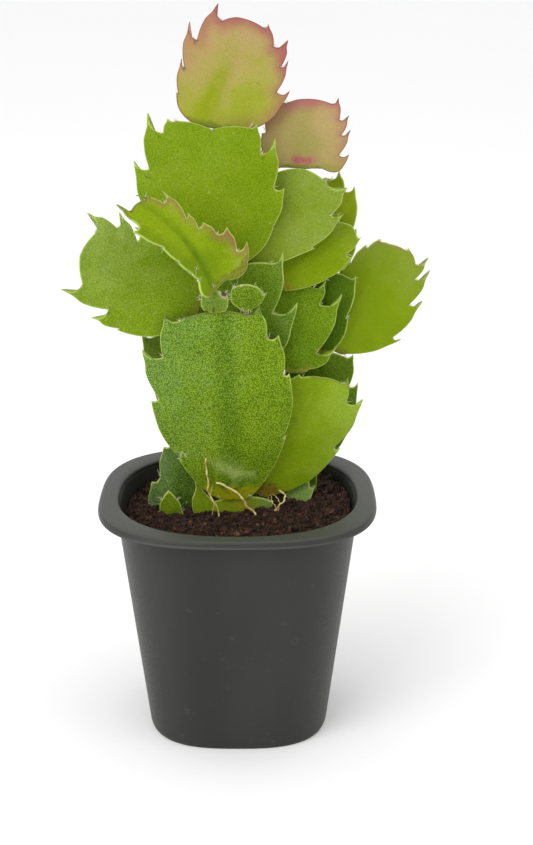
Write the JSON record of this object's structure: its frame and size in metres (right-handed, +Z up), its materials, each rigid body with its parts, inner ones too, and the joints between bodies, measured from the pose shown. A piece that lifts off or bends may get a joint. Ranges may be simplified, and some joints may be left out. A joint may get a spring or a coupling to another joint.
{
  "type": "potted christmas cactus",
  "caption": "Young Christmas cactus with flat toothed stem segments, planted in dark soil in a small rounded-square plastic pot with a flat rim.",
  "frame": {"origin": "centre of the pot's flat foot, on the surface that the pot stands on", "axes": "+Z up, -Y towards the front, where the broad front segment faces, +X to the right seen from the front"},
  "size_m": [0.0853, 0.065, 0.1689],
  "materials": {
    "pot": "moulded, slightly satin charcoal",
    "soil": "rough dark peat crumbs",
    "old_segment": "waxy dark green skin",
    "segment": "waxy green skin with fine pale speckles",
    "light_segment": "waxy yellow-green skin",
    "pink_segment": "waxy young skin, green with dusty pink edges",
    "root": "dry straw-coloured root"
  },
  "bodies": {
    "root": {"pot": "pot", "soil": "soil", "segment_mother": "old_segment", "segment_front": "segment", "segment_left": "segment", "segment_neck": "segment", "segment_left_pink": "pink_segment", "segment_bud": "light_segment", "segment_right_front": "light_segment", "segment_middle": "segment", "segment_right_upper": "segment", "segment_back_middle": "segment", "segment_top_left": "light_segment", "segment_top_pink": "pink_segment", "segment_top_right": "segment", "segment_right_pink": "pink_segment", "segment_back_left": "segment", "segment_back_right": "old_segment", "segment_right_inner": "old_segment", "segment_right_outer": "light_segment", "segment_back_top": "light_segment", "segment_low_left": "old_segment", "segment_low_left_tip": "light_segment", "segment_low_right": "old_segment", "root_left": "root", "root_middle": "root", "root_right": "root"}
  },
  "joints": []
}
